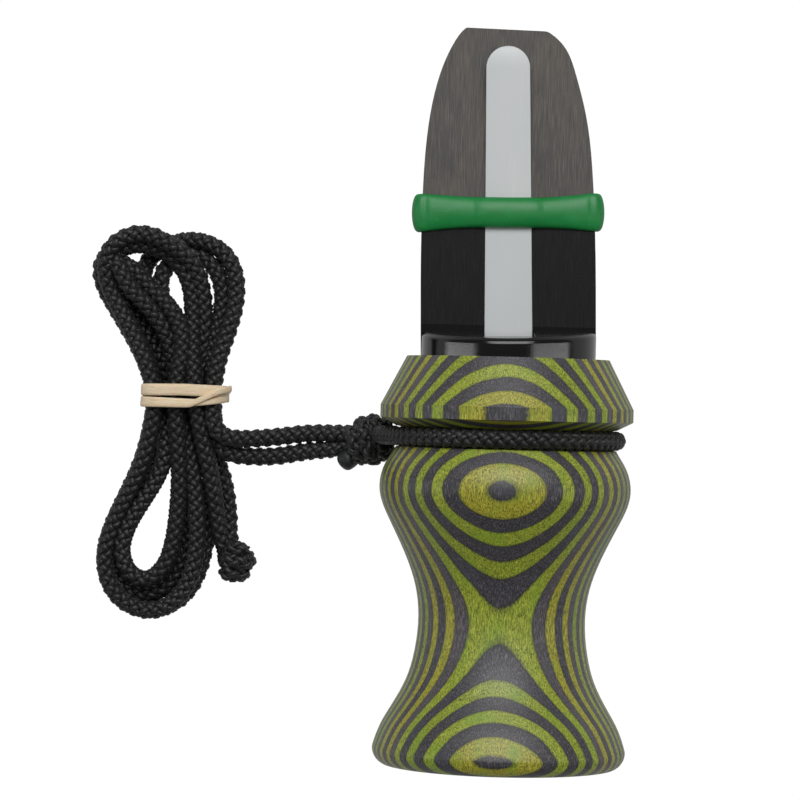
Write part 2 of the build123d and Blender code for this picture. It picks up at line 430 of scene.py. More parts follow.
@dataclass(frozen=True)
class SimpleFinish:
    """A material of one base colour, with flecks, uneven sheen and fine relief."""

    name: str
    base: str
    ior: float
    flecks: tuple
    sheen: Pattern
    rough: tuple
    marks: Pattern
    relief: tuple
    scatter: float = 0.0
    scatter_radius: tuple = (0.0, 0.0, 0.0)

    def build(self) -> Material:
        """Make the material.

        Returns:
            The material, whose patterns are each worked out once.
        """
        material, tree = new_material(self.name)
        place = object_place(tree)
        patterns = dict.fromkeys([*(pattern for pattern, _ in self.flecks), self.sheen, self.marks])
        values = {p: grain(tree, place, p.size, p.detail, p.roughness) for p in patterns}
        colour = self.base
        for pattern, fleck in self.flecks:
            colour = fleck.over(tree, colour, values[pattern])
        close_material(tree, {
            "Base Color": colour, "Roughness": ramp(tree, values[self.sheen], *self.rough),
            "IOR": self.ior, "Normal": bump(tree, values[self.marks], *self.relief),
            "Subsurface Weight": self.scatter, "Subsurface Radius": self.scatter_radius,
        })
        return material


@dataclass(frozen=True)
class LaminatedBirch:
    """Dyed birch veneers glued flat on each other and turned on a lathe, under satin lacquer.

    The eye sees the veneers as contour rings, green and charcoal in turn, each with the short
    dark and light flecks of cut fibres, and a soft wide sheen where the curve faces a light.
    """

    veneer: float = 1.023
    first_joint: float = 18.82
    side_lean: float = 2.9
    axis_height: float = 19.05
    greens: tuple = (
        "#86970E", "#93A016", "#7B940C", "#8B9C12", "#A39A16", "#739012", "#90A018",
    )
    charcoals: tuple = (
        "#38353A", "#2C2B30", "#454044", "#302F36", "#4A4548", "#2E2C31", "#3D393D",
    )
    fibre: tuple = (0.11, 1.3, 0.11)
    pore: tuple = (0.16, 0.5, 0.16)
    cloud: tuple = (3.5, 9, 2.0)
    warp: tuple = (9, 22, 5)
    warp_share: float = 0.42
    ragged_share: float = 0.16
    green_shade: Fleck = Fleck("#46560A", 0.5, 0.36, 0.95)
    green_light: Fleck = Fleck("#D2D45C", 0.5, 0.66, 0.9)
    green_pore: Fleck = Fleck("#384210", 0.45, 0.36, 0.85)
    green_cloud: Fleck = Fleck("#6E9A1C", 0.5, 0.75, 0.55)
    dark_shade: Fleck = Fleck("#141317", 0.5, 0.36, 0.9)
    dark_light: Fleck = Fleck("#938A90", 0.52, 0.68, 0.8)
    dark_cloud: Fleck = Fleck("#4A5260", 0.5, 0.8, 0.35)
    glue: Fleck = Fleck("#24250F", 0.13, 0.0, 0.6)
    rough: tuple = ((0.3, 0.56), (0.75, 0.4))
    relief: tuple = (0.035, 0.8)

    def build(self) -> Material:
        """Make the material.

        Returns:
            The laminated wood.
        """
        material, tree = new_material("dyed_birch_laminate_satin")
        place = object_place(tree)
        lean = math.radians(self.side_lean)
        normal = (-math.sin(lean), 0.0, math.cos(lean))
        height = add_node(
            tree, "VectorMath", {0: place, 1: normal}, operation="DOT_PRODUCT"
        ).outputs["Value"]
        top = (self.axis_height * math.cos(lean) + self.first_joint) * MM
        depth = math_node(tree, "SUBTRACT", top, height)
        plies = math_node(tree, "DIVIDE", depth, self.veneer * MM)
        # Veneers wander a little, and cut fibres make their joints ragged
        wander = math_node(tree, "SUBTRACT", grain(tree, place, self.warp), 0.5)
        ragged = math_node(tree, "SUBTRACT", grain(tree, place, self.pore, 3.0, 0.7), 0.5)
        moved = math_node(tree, "MULTIPLY_ADD", wander, self.warp_share, plies)
        jagged = math_node(tree, "MULTIPLY_ADD", ragged, self.ragged_share, moved)
        number = math_node(tree, "FLOOR", jagged)
        within = math_node(tree, "FRACT", jagged)
        odd = math_node(tree, "FLOORED_MODULO", number, 2.0)
        chance = add_node(
            tree, "TexWhiteNoise", {"W": number}, noise_dimensions="1D"
        ).outputs["Value"]
        steps = [i / len(self.greens) for i in range(len(self.greens))]
        green = ramp(tree, chance, *zip(steps, map(linear, self.greens)), ease="CONSTANT")
        dark = ramp(tree, chance, *zip(steps, map(linear, self.charcoals)), ease="CONSTANT")

        fibres = grain(tree, place, self.fibre, 4.0, 0.75)
        pores = grain(tree, place, self.pore, 2.0, 0.6)
        clouds = grain(tree, place, self.cloud, 2.0)
        for fleck, pattern in (
            (self.green_shade, fibres), (self.green_light, fibres),
            (self.green_pore, pores), (self.green_cloud, clouds),
        ):
            green = fleck.over(tree, green, pattern)
        for fleck, pattern in (
            (self.dark_shade, fibres), (self.dark_light, fibres), (self.dark_cloud, clouds),
        ):
            dark = fleck.over(tree, dark, pattern)
        colour = blend_colours(tree, odd, green, dark)
        # Dark glue and dye soak in along both sides of each joint
        joint = math_node(tree, "PINGPONG", within, 0.5)
        close_material(tree, {
            "Base Color": self.glue.over(tree, colour, joint),
            "Roughness": ramp(tree, fibres, *self.rough),
            "IOR": 1.5, "Normal": bump(tree, fibres, *self.relief),
            "Coat Weight": 0.5, "Coat Roughness": 0.4, "Coat IOR": 1.5,
        })
        return material


@dataclass(frozen=True)
class TurnedAcrylic:
    """Black acrylic rod, turned and milled, its reed ramp finished by hand sanding along the board.

    The eye sees a deep black gloss on the collar, a satin black face with hairline marks, and
    a warm grey ramp: a fine matt scratch left by the sanding, with a painted sheen of the key light.
    """

    black: str = "#0E0E0E"
    # Warm grey of the ramp: partly the real matt sanding, partly a painted sheen of the key light
    sanded_with_painted_sheen: str = "#3F3B38"
    ramp_start: float = 29.75
    ramp_floor: float = 13.4
    collar_end: float = 10.6
    level_enough: float = 0.9
    scratch: tuple = (0.11, 4.5, 0.5)
    cross_mark: tuple = (1.8, 0.16, 0.5)
    smear: tuple = (7, 10, 5)
    dust: tuple = (0.25, 0.25, 0.25)
    ramp_smear: Fleck = Fleck("#565049", 0.38, 0.62, 0.9)
    ramp_shade: Fleck = Fleck("#2A2826", 0.52, 0.36, 0.8)
    ramp_glint: Fleck = Fleck("#716B63", 0.52, 0.68, 0.6)
    face_glint: Fleck = Fleck("#202020", 0.62, 0.85, 0.5)
    speck: Fleck = Fleck("#8A8782", 0.74, 0.8, 0.5)
    collar_rough: tuple = ((0.4, 0.07), (0.75, 0.16))
    face_rough: tuple = ((0.3, 0.2), (0.8, 0.32))
    ramp_rough: tuple = ((0.3, 0.46), (0.7, 0.56))
    scratch_relief: tuple = (0.012, 0.7)
    cross_relief: tuple = (0.006, 0.35)

    def build(self) -> Material:
        """Make the material.

        Returns:
            The black acrylic.
        """
        material, tree = new_material("black_acrylic_turned_and_sanded")
        place = object_place(tree)
        parts = add_node(tree, "SeparateXYZ", {"Vector": place}).outputs
        facing = add_node(
            tree, "SeparateXYZ", {"Vector": add_node(tree, "NewGeometry").outputs["True Normal"]}
        ).outputs["Z"]
        beyond = math_node(tree, "GREATER_THAN", parts["Y"], self.ramp_start * MM)
        above = math_node(tree, "GREATER_THAN", parts["Z"], self.ramp_floor * MM)
        upward = math_node(tree, "GREATER_THAN", facing, self.level_enough)
        on_board = math_node(tree, "GREATER_THAN", parts["Y"], self.collar_end * MM)
        # The up-facing ramp beyond the band is painted warm grey: real sanding marks plus a painted
        # sheen standing in for the key light's reflection
        sanded_with_painted_sheen = math_node(tree, "MULTIPLY", math_node(tree, "MULTIPLY", beyond, above), upward)

        scratches = grain(tree, place, self.scratch, 5.0, 0.7)
        cross = grain(tree, place, self.cross_mark, 3.0, 0.6)
        smear = grain(tree, place, self.smear, 3.0, 0.55)
        dust = grain(tree, place, self.dust, 2.0)
        grey = self.ramp_smear.over(tree, self.sanded_with_painted_sheen, smear)
        grey = self.ramp_shade.over(tree, grey, scratches)
        grey = self.ramp_glint.over(tree, grey, scratches)
        plain = self.face_glint.over(tree, self.black, scratches)
        colour = self.speck.over(tree, blend_colours(tree, sanded_with_painted_sheen, plain, grey), dust)
        collar_rough = ramp(tree, dust, *self.collar_rough)
        face_rough = ramp(tree, scratches, *self.face_rough)
        ramp_rough = ramp(tree, smear, *self.ramp_rough)
        rough = blend_colours(tree, on_board, collar_rough, face_rough)
        rough = blend_colours(tree, sanded_with_painted_sheen, rough, ramp_rough)
        marks = bump(tree, scratches, *self.scratch_relief)
        marks = bump(tree, cross, *self.cross_relief, under=marks)
        close_material(tree, {
            "Base Color": colour, "Roughness": rough, "IOR": 1.49, "Normal": marks,
        })
        return material


@dataclass(frozen=True)
class PolyesterSheet(SimpleFinish):
    """Translucent white polyester sheet, cut and satin rubbed, for the reed.

    The eye sees an even cool white with a soft sheen and a few faint rubs along it.
    """

    rubs = Pattern((0.3, 9, 1), 3.0)
    clouds = Pattern((6, 14, 4))
    name: str = "white_polyester_reed_stock"
    base: str = "#CDD0D0"
    ior: float = 1.6
    flecks: tuple = (
        (clouds, Fleck("#C2C8CB", 0.35, 0.7, 0.4)), (rubs, Fleck("#DEE0DF", 0.62, 0.8, 0.35)),
    )
    sheen: Pattern = rubs
    rough: tuple = ((0.3, 0.36), (0.8, 0.48))
    marks: Pattern = rubs
    relief: tuple = (0.004, 0.4)
    scatter: float = 0.08
    scatter_radius: tuple = (0.6 * MM, 0.6 * MM, 0.6 * MM)


@dataclass(frozen=True)
class GreenRubber(SimpleFinish):
    """Dyed natural rubber, moulded as a thick band and dusted with its own bloom.

    The eye sees a saturated green with a waxy sheen, deep in the shade, and pale specks of dust.
    """

    bloom = Pattern((3, 2, 2), 3.0)
    specks = Pattern((0.22, 0.22, 0.22))
    name: str = "green_natural_rubber"
    base: str = "#0C7F38"
    ior: float = 1.52
    flecks: tuple = (
        (bloom, Fleck("#1F8F4A", 0.4, 0.7, 0.4)), (specks, Fleck("#8CCB98", 0.71, 0.77, 0.7)),
    )
    sheen: Pattern = bloom
    rough: tuple = ((0.3, 0.38), (0.7, 0.5))
    marks: Pattern = Pattern((0.35, 1.6, 0.35), 3.0, 0.6)
    relief: tuple = (0.03, 0.5)
    scatter: float = 0.12
    scatter_radius: tuple = (0.3 * MM, 1.0 * MM, 0.4 * MM)


@dataclass(frozen=True)
class BraidedNylon:
    """Black nylon yarns of many fine filaments, plaited tight.

    The eye sees leaf-shaped yarns leaning to either side in turn, each with fine bright
    filament lines and a little fuzz, nearly black between them.
    """

    black: str = "#0E0E0F"
    filaments_across: float = 9.0
    filament_stretch: float = 1.1
    filament_lean: float = math.radians(12)
    fuzz: tuple = (0.2, 0.2, 0.2)
    glint: Fleck = Fleck("#3C3A3C", 0.5, 0.78, 0.8)
    shade: Fleck = Fleck("#0C0C0D", 0.52, 0.3, 0.7)
    rough: tuple = ((0.3, 0.4), (0.7, 0.6))
    filament_relief: tuple = (0.06, 0.9)
    fuzz_relief: tuple = (0.05, 0.4)

    def build(self) -> Material:
        """Make the material.

        Returns:
            The black nylon yarn.
        """
        material, tree = new_material("black_braided_nylon")
        place = object_place(tree)
        along = add_node(tree, "UVMap", uv_map="along").outputs["UV"]
        scale = (self.filaments_across, self.filament_stretch, 1)
        twisted = add_node(
            tree, "Mapping",
            {"Vector": along, "Rotation": (0, 0, self.filament_lean), "Scale": scale},
        ).outputs[0]
        filaments = add_node(
            tree, "TexNoise", {"Vector": twisted, "Scale": 1.0, "Detail": 3.0, "Roughness": 0.7}
        ).outputs["Fac"]
        fuzz = grain(tree, place, self.fuzz, 3.0, 0.7)
        colour = self.glint.over(tree, self.black, filaments)
        normal = bump(tree, filaments, *self.filament_relief)
        close_material(tree, {
            "Base Color": self.shade.over(tree, colour, fuzz),
            "Roughness": ramp(tree, fuzz, *self.rough),
            "IOR": 1.53, "Normal": bump(tree, fuzz, *self.fuzz_relief, under=normal),
            "Sheen Weight": 0.06, "Sheen Roughness": 0.4,
        })
        return material


@dataclass(frozen=True)
class MeltedNylon(SimpleFinish):
    """Nylon cord end sealed with a flame.

    The eye sees a smooth dark bead, with a low gloss and a slight pucker.
    """

    pucker = Pattern((0.7, 0.7, 0.7), 3.0, 0.6)
    name: str = "black_nylon_melted_end"
    base: str = "#151817"
    ior: float = 1.53
    flecks: tuple = ((pucker, Fleck("#2B302E", 0.45, 0.75, 0.7)),)
    sheen: Pattern = pucker
    rough: tuple = ((0.3, 0.34), (0.7, 0.55))
    marks: Pattern = pucker
    relief: tuple = (0.12, 0.8)


@dataclass(frozen=True)
class TanLatex(SimpleFinish):
    """Undyed latex cut from sheet, as in an office rubber band.

    The eye sees a warm translucent tan, powdery, with faint stretch lines along the strand.
    """

    lines = Pattern((2.6, 0.16, 0.6), 3.0, 0.6)
    clouds = Pattern((3, 1.5, 2))
    name: str = "tan_latex_sheet"
    base: str = "#E9D3B0"
    ior: float = 1.52
    flecks: tuple = (
        (clouds, Fleck("#F2E2C8", 0.35, 0.7, 0.6)), (lines, Fleck("#CBAE86", 0.48, 0.3, 0.6)),
    )
    sheen: Pattern = clouds
    rough: tuple = ((0.3, 0.45), (0.7, 0.6))
    marks: Pattern = lines
    relief: tuple = (0.03, 0.6)
    scatter: float = 0.3
    scatter_radius: tuple = (1.6 * MM, 0.9 * MM, 0.4 * MM)


@dataclass(frozen=True)
class NitrileRubber(SimpleFinish):
    """Moulded nitrile rubber with a thin film of grease, for the O-rings.

    The eye sees a dense black with a soft moist shine.
    """

    film = Pattern((1.2, 0.6, 1.2), 3.0)
    name: str = "black_nitrile_o_ring"
    base: str = "#121213"
    ior: float = 1.52
    flecks: tuple = ((film, Fleck("#222224", 0.45, 0.75, 0.5)),)
    sheen: Pattern = film
    rough: tuple = ((0.35, 0.28), (0.7, 0.45))
    marks: Pattern = film
    relief: tuple = (0.01, 0.5)


# Sub-assemblies ------------------------------------------------------------------------------


@dataclass
class Barrel:
    """The turned wooden barrel, whose CAD shape is kept."""

    node: str = "barrel"

    def dress(self) -> None:
        """Give the barrel its laminated wood."""
        dress_node(self.node, LaminatedBirch().build())


@dataclass
class Mouthpiece:
    """The plug, collar and toneboard, and the two O-rings on the plug."""

    node: str = "mouthpiece"
    o_rings: tuple = ("o_ring_front", "o_ring_rear")

    def dress(self) -> None:
        """Give the mouthpiece its acrylic and the O-rings their rubber."""
        dress_node(self.node, TurnedAcrylic().build())
        rubber = NitrileRubber().build()
        for node in self.o_rings:
            dress_node(node, rubber)


def dress_node(node: str, material: Material) -> None:
    """Give a CAD node one finish.

    Args:
        node: the node's name.
        material: its finish.
    """
    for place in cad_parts[node].material_slots:
        place.material = material


@dataclass
class Board:
    """Where the toneboard's face lies: the reed and the band are placed on it."""

    mouth_y: float = 5.75 * MM
    face_z: float = 19.05 * MM
    lean: float = math.radians(1.5)
    radius: float = 13.3 * MM
    half_width: float = 13.2 * MM
    depth: float = 8.0 * MM

    def place(self, across: np.ndarray, along: np.ndarray, up: np.ndarray) -> np.ndarray:
        """Points given across, along and above the board's face, in the model's frame.

        Args:
            across: distances to the right of the board's middle line, in metres.
            along: distances from the barrel's mouth, in metres.
            up: heights above the face, in metres.

        Returns:
            The points.
        """
        cos, sin = math.cos(self.lean), math.sin(self.lean)
        x = across * cos - along * sin
        y = self.mouth_y + across * sin + along * cos
        return np.stack([x, y, self.face_z + up], -1)


@dataclass
class Reed:
    """One strip of polyester with a round tip, clamped under the band and free beyond it."""

    foot: float = 3.25 * MM
    clamp_edge: float = 24.0 * MM
    tip: float = 47.0 * MM
    foot_width: float = 7.2 * MM
    tip_width: float = 6.6 * MM
    gap: float = 0.02 * MM
    thickness: float = 0.35 * MM
    edge: float = 0.09 * MM
    stations: int = 70
    tip_stations: int = 14
    tip_sweep: float = math.radians(88)
    crisp_angle: float = math.radians(35)
    corner_steps: int = 3
    corner_limit: float = 0.6
    bend_length: float = 14.0 * MM

    def section(self, half_width: float) -> np.ndarray:
        """Corner-rounded section of the strip.

        Args:
            half_width: half of the strip's width there, in metres.

        Returns:
            (across, up) pairs, in metres.
        """
        half = self.thickness / 2
        corner = min(self.edge, self.corner_limit * half_width)
        pairs = []
        for quarter in range(4):
            cx = (half_width - corner) * (1 if quarter in (0, 3) else -1)
            cz = (half - corner) * (1 if quarter in (0, 1) else -1)
            for step in range(self.corner_steps + 1):
                angle = math.pi / 2 * (quarter + step / self.corner_steps)
                pairs.append((cx + corner * math.cos(angle), half + cz + corner * math.sin(angle)))
        return np.array(pairs)

    def build(self, board: Board) -> Piece:
        """Make the reed.

        Args:
            board: the toneboard it lies on.

        Returns:
            The reed.
        """
        radius = self.tip_width / 2
        straight = np.linspace(self.foot, self.tip - radius, self.stations)
        taper = (self.foot_width - self.tip_width) / (self.tip - radius - self.foot)
        widths = (self.foot_width - taper * (straight - self.foot)) / 2
        turn = np.linspace(0, self.tip_sweep, self.tip_stations)[1:]
        along = np.concatenate([straight, self.tip - radius + radius * np.sin(turn)])
        half = np.concatenate([widths, radius * np.cos(turn)])
        rings = []
        for distance, half_width in zip(along, half):
            pairs = self.section(float(half_width))
            distances = np.full(len(pairs), distance)
            rings.append(board.place(pairs[:, 0], distances, self.gap + pairs[:, 1]))
        sides = len(rings[0])
        points = np.concatenate(rings)
        faces = ring_faces(len(rings), sides)
        caps = [fan for ring, flip in ((0, True), (len(rings) - 1, False))
                for fan in cap_faces(ring * sides, sides, flip)]
        faces = np.concatenate([faces, np.array(caps)])
        reed = new_mesh_piece("reed_strip", points, faces, PolyesterSheet().build())
        reed.data.set_sharp_from_angle(angle=self.crisp_angle)
        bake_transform(reed)
        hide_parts("reed_foot", "reed_tongue")
        return reed


def cap_faces(first: int, sides: int, flip: bool) -> list[list[int]]:
    """Strips of faces that close the end ring of a tube.

    Args:
        first: the ring's first vertex.
        sides: vertices in the ring.
        flip: whether the faces look the other way.

    Returns:
        Faces of four vertices, the last -1 where there are three.
    """
    faces = []
    low, high = 0, sides - 1
    while high - low >= 2:
        if high - low == 2:
            face = [first + low, first + low + 1, first + high, -1]
        else:
            face = [first + low, first + low + 1, first + high - 1, first + high]
        if flip:
            used = [v for v in face if v >= 0][::-1]
            face = used + [-1] * (4 - len(used))
        faces.append(face)
        low, high = low + 1, high - 1
    return faces


@dataclass
class ReedBand:
    """The thick rubber band that holds the reed down, snug round board and reed.

    Its section is a low dome.  It narrows where it is stretched over the face and spreads where
    it turns round the board's edges, with a crease beside each turn.
    """

    centre: float = 21.9 * MM
    thickness: float = 1.65 * MM
    edge_thickness: float = 1.25 * MM
    half_height: float = 2.33 * MM
    edge_half_height: float = 2.88 * MM
    gap: float = 0.04 * MM
    reed_rise: float = 0.4 * MM
    reed_half: float = 3.6 * MM
    reed_slope: float = 1.6 * MM
    corner_sweep: float = -0.05
    face_floor: float = -0.6 * MM
    spread_start: float = 0.35
    spread_run: float = 0.6
    spread_power: float = 1.6
    under_start: float = 2.0 * MM
    under_run: float = 4.0 * MM
    under_loss: float = 0.55
    crease_place: float = 0.945
    crease_width: float = 0.35 * MM
    crease_floor: float = -0.3 * MM
    crease_share: float = 0.16
    rim: float = 0.22
    dome_power: float = 0.85
    wave: float = 0.05 * MM
    waves: int = 3
    steps: int = 240
    sides: int = 22

    def inner_line(self, board: Board) -> np.ndarray:
        """The closed line that the band's inside follows.

        Args:
            board: the toneboard it goes round.

        Returns:
            (across, up) pairs, in metres.
        """
        radius = board.radius + self.gap
        bottom = -board.depth - self.gap
        half = board.half_width + self.gap
        bottom_half = math.sqrt(radius**2 - bottom**2)
        top = []
        for across in np.linspace(-half, half, 90):
            reach = self.reed_half + self.reed_slope - abs(across)
            over = np.clip(reach / self.reed_slope, 0, 1)
            top.append((across, self.gap + self.reed_rise * over * over * (3 - 2 * over)))
        angles = np.linspace(self.corner_sweep, math.atan2(bottom, bottom_half), 24)
        right = [(radius * math.cos(a), radius * math.sin(a)) for a in angles]
        under = [(across, bottom) for across in np.linspace(bottom_half, -bottom_half, 60)[1:-1]]
        left = [(-across, up) for across, up in reversed(right)]
        return np.array(top + right + under + left)

    def build(self, board: Board) -> Piece:
        """Make the band.

        Args:
            board: the toneboard it goes round.

        Returns:
            The band.
        """
        line = self.inner_line(board)
        points, share = evenly(np.vstack([line, line[:1]]), self.steps)
        for _ in range(3):
            points = (np.roll(points, 1, 0) + 2 * points + np.roll(points, -1, 0)) / 4
        tangent = closed_tangents(points)
        outward = np.stack([-tangent[:, 1], tangent[:, 0]], 1)
        across, up = np.abs(points[:, 0]), points[:, 1]
        edge = np.clip((across / board.half_width - self.spread_start) / self.spread_run, 0, 1)
        lower = np.clip((-up - self.under_start) / self.under_run, 0, 1)
        spread = np.where(
            up > self.face_floor, edge**self.spread_power, 1 - self.under_loss * lower
        )
        tall = self.half_height + (self.edge_half_height - self.half_height) * spread
        thick = self.thickness + (self.edge_thickness - self.thickness) * spread
        beside = (across - self.crease_place * board.half_width) / self.crease_width
        crease = self.crease_share * np.exp(-(beside**2))
        thick = thick * np.where(up > self.crease_floor, 1 - crease, 1.0)
        # A dome: flat against the board, full in the middle, thin rounded rims
        angles = np.linspace(0, 2 * math.pi, self.sides, endpoint=False)
        outer = np.clip(np.sin(angles), 0, None) ** self.dome_power
        rise = np.where(
            np.sin(angles) > 0, self.rim + (1 - self.rim) * outer, self.rim * (1 + np.sin(angles))
        )
        wave = self.wave * np.sin(2 * math.pi * self.waves * share)
        rings = []
        for i in range(self.steps):
            place = points[i] + outward[i] * (rise * thick[i])[:, None]
            distances = self.centre + np.cos(angles) * tall[i] + wave[i]
            rings.append(board.place(place[:, 0], distances, place[:, 1]))
        faces = ring_faces(self.steps, self.sides, closed=True)[:, ::-1]
        rubber = GreenRubber().build()
        band = new_mesh_piece("reed_band_rubber", np.concatenate(rings), faces, rubber)
        smooth = band.modifiers.new("smooth", "SUBSURF")
        smooth.levels = smooth.render_levels = 1
        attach(band, Body.REED_BAND.value)
        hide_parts("reed_band")
        return band


def metres(route: tuple) -> list[tuple[float, ...]]:
    """A route given in millimetres, in metres."""
    return [tuple(value * MM for value in point) for point in route]


@dataclass(frozen=True)
class Braid:
    """Round braid of eight yarns, four each way, each going over one and under one."""

    yarns_each_way: int = 4
    radius: float = 1.5 * MM
    pitch: float = 6.4 * MM
    half_width: float = 0.52 * MM
    half_thickness: float = 0.36 * MM
    wave: float = 0.26 * MM
    steps_per_pitch: int = 22
    sides: int = 6

    @property
    def spacing(self) -> float:
        """Distance between the samples along a yarn."""
        return self.pitch / self.steps_per_pitch

    def mesh(self, path: np.ndarray, squeeze: np.ndarray | None = None) -> tuple:
        """Plait the yarns round a path.

        Args:
            path: points evenly along the cord's middle, in metres.
            squeeze: the share of the full size that the cord has at each point.

        Returns:
            Vertices, faces and the corners' map coordinates.
        """
        tangents, first, second = untwisted_frames(path)
        way = running_length(path)
        size = np.ones(len(path)) if squeeze is None else squeeze
        middle = self.radius - self.wave - self.half_thickness
        section = np.linspace(0, 2 * math.pi, self.sides, endpoint=False)
        points, faces, corners = [], [], []
        for direction in (1, -1):
            for yarn in range(self.yarns_each_way):
                angle = 2 * math.pi * (yarn / self.yarns_each_way + direction * way / self.pitch)
                lift = direction * self.wave * np.cos(self.yarns_each_way * angle)
                outward = first * np.cos(angle)[:, None] + second * np.sin(angle)[:, None]
                line = path + outward * ((middle + lift) * size)[:, None]
                run = np.gradient(line, axis=0)
                run /= np.linalg.norm(run, axis=1)[:, None]
                side = np.cross(run, outward)
                side /= np.linalg.norm(side, axis=1)[:, None]
                up = np.cross(side, run)
                wide = (self.half_width * size)[:, None, None] * np.cos(section)[None, :, None]
                high = (self.half_thickness * size)[:, None, None] * np.sin(section)[None, :, None]
                rings = line[:, None, :] + wide * side[:, None, :] + high * up[:, None, :]
                strip = ring_faces(len(path), self.sides)
                faces.append(strip + sum(len(p) for p in points))
                points.append(rings.reshape(-1, 3))
                ring, place = np.divmod(np.arange(len(strip)), self.sides)
                across = np.stack([place, place + 1, place + 1, place], 1) / self.sides
                along = way[np.stack([ring, ring, ring + 1, ring + 1], 1)] / (2 * self.half_width)
                corners.append(np.stack([across, along], -1).reshape(-1, 2))
        return np.concatenate(points), np.concatenate(faces), np.concatenate(corners)


